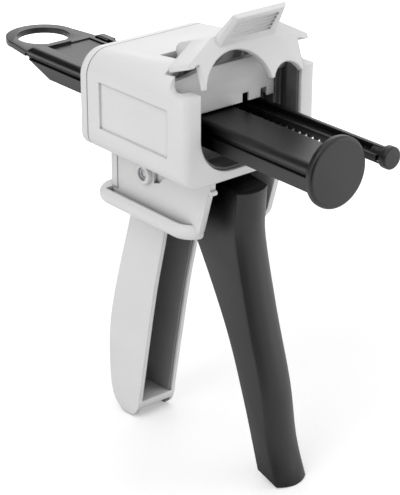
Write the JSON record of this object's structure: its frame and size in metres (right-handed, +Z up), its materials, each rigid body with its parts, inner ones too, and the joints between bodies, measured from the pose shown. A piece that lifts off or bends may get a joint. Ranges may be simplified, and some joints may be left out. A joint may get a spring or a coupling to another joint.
{
  "type": "two-part cartridge dispenser",
  "caption": "Hand-squeezed dispenser for two-part adhesive cartridges: light housing with a flip latch, black trigger, and a toothed plunger with a large and a small piston.",
  "frame": {"origin": "on the seat face that the cartridge flange stands against, on the mid plane of the housing, at the height of the two piston axes", "axes": "+X the way the plunger pushes, +Y to the left of the tool, +Z up, away from the handle"},
  "size_m": [0.1963, 0.0618, 0.1849],
  "materials": {
    "white_plastic": "fine satin moulding",
    "black_plastic": "fine satin moulding",
    "bright_steel": "plain drawn steel"
  },
  "bodies": {
    "frame": {"housing": "white_plastic", "rear_cover": "white_plastic", "cover_screws": "bright_steel", "guide_frame": "black_plastic", "handle_liner": "black_plastic", "pivot_pin": "bright_steel", "return_spring": "bright_steel"},
    "trigger": {"trigger": "black_plastic", "pawl_pin": "bright_steel", "pawl_spring": "bright_steel"},
    "pawl": {"pawl": "bright_steel"},
    "plunger": {"plunger": "black_plastic"},
    "latch": {"latch": "white_plastic"}
  },
  "joints": [
    {"name": "trigger_pivot", "type": "hinge", "parent": "frame", "child": "trigger", "pos_m": [-0.0275, 0, -0.026], "axis": [0, 1, 0], "range_deg": [0, 23.5], "stiffness_Nm_per_rad": 0.6, "springref_deg": -20.05, "deforming": ["return_spring"]},
    {"name": "pawl_pivot", "type": "hinge", "parent": "trigger", "child": "pawl", "pos_m": [-0.04091, 0, -0.00528], "axis": [0, -1, 0], "range_deg": [0, 12], "stiffness_Nm_per_rad": 0.02, "springref_deg": -5.73, "deforming": ["pawl_spring"]},
    {"name": "plunger_slide", "type": "slide", "parent": "frame", "child": "plunger", "axis": [1, 0, 0], "range_m": [-0.0594, 0.0429]},
    {"name": "latch_hinge", "type": "hinge", "parent": "frame", "child": "latch", "pos_m": [-0.015, 0, 0.0141], "axis": [0, -1, 0], "range_deg": [-20, 18]}
  ]
}
